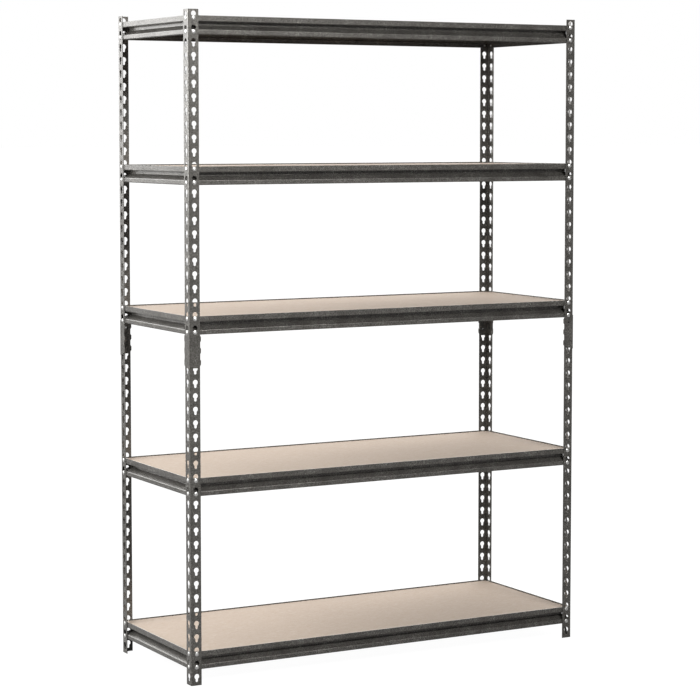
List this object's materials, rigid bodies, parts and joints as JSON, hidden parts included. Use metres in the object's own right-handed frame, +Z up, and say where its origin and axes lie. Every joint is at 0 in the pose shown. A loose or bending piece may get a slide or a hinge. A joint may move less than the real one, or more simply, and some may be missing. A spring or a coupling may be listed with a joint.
{
  "type": "boltless steel shelving",
  "caption": "Free-standing boltless rivet shelving: keyhole angle posts, folded steel beams with rivets, and loose particleboard decks at uneven heights.",
  "frame": {"origin": "on the floor, in the middle of the four posts in width and depth", "axes": "+Z up, +X to the right along the long side seen from the front, +Y from front to rear"},
  "size_m": [1.2492, 0.4742, 1.8288],
  "materials": {
    "vein_paint": "silver-grey hammered vein powder coat, satin",
    "zinc": "bright zinc plate, slightly brushed",
    "particleboard": "bare light particleboard, fine chips, matt"
  },
  "bodies": {
    "lower_section": {"lower_post_front_left": "vein_paint", "lower_post_front_right": "vein_paint", "lower_post_rear_right": "vein_paint", "lower_post_rear_left": "vein_paint", "post_coupler_front_left": "vein_paint", "post_coupler_front_right": "vein_paint", "post_coupler_rear_right": "vein_paint", "post_coupler_rear_left": "vein_paint", "shelf_1_front_beam": "vein_paint", "shelf_1_right_beam": "vein_paint", "shelf_1_rear_beam": "vein_paint", "shelf_1_left_beam": "vein_paint", "shelf_1_rivets": "zinc", "shelf_2_front_beam": "vein_paint", "shelf_2_right_beam": "vein_paint", "shelf_2_rear_beam": "vein_paint", "shelf_2_left_beam": "vein_paint", "shelf_2_rivets": "zinc"},
    "upper_section": {"upper_post_front_left": "vein_paint", "upper_post_front_right": "vein_paint", "upper_post_rear_right": "vein_paint", "upper_post_rear_left": "vein_paint", "shelf_3_front_beam": "vein_paint", "shelf_3_right_beam": "vein_paint", "shelf_3_rear_beam": "vein_paint", "shelf_3_left_beam": "vein_paint", "shelf_3_rivets": "zinc", "shelf_4_front_beam": "vein_paint", "shelf_4_right_beam": "vein_paint", "shelf_4_rear_beam": "vein_paint", "shelf_4_left_beam": "vein_paint", "shelf_4_rivets": "zinc", "shelf_5_front_beam": "vein_paint", "shelf_5_right_beam": "vein_paint", "shelf_5_rear_beam": "vein_paint", "shelf_5_left_beam": "vein_paint", "shelf_5_rivets": "zinc"},
    "deck_1": {"shelf_1_deck": "particleboard"},
    "deck_2": {"shelf_2_deck": "particleboard"},
    "deck_3": {"shelf_3_deck": "particleboard"},
    "deck_4": {"shelf_4_deck": "particleboard"},
    "deck_5": {"shelf_5_deck": "particleboard"}
  },
  "joints": [
    {"name": "upper_section_lift", "type": "slide", "parent": "lower_section", "child": "upper_section", "axis": [0, 0, 1], "range_m": [0, 0.06]},
    {"name": "deck_1_lift", "type": "slide", "parent": "lower_section", "child": "deck_1", "axis": [0, 0, 1], "range_m": [0, 0.25]},
    {"name": "deck_2_lift", "type": "slide", "parent": "lower_section", "child": "deck_2", "axis": [0, 0, 1], "range_m": [0, 0.25]},
    {"name": "deck_3_lift", "type": "slide", "parent": "upper_section", "child": "deck_3", "axis": [0, 0, 1], "range_m": [0, 0.25]},
    {"name": "deck_4_lift", "type": "slide", "parent": "upper_section", "child": "deck_4", "axis": [0, 0, 1], "range_m": [0, 0.25]},
    {"name": "deck_5_lift", "type": "slide", "parent": "upper_section", "child": "deck_5", "axis": [0, 0, 1], "range_m": [0, 0.25]}
  ]
}
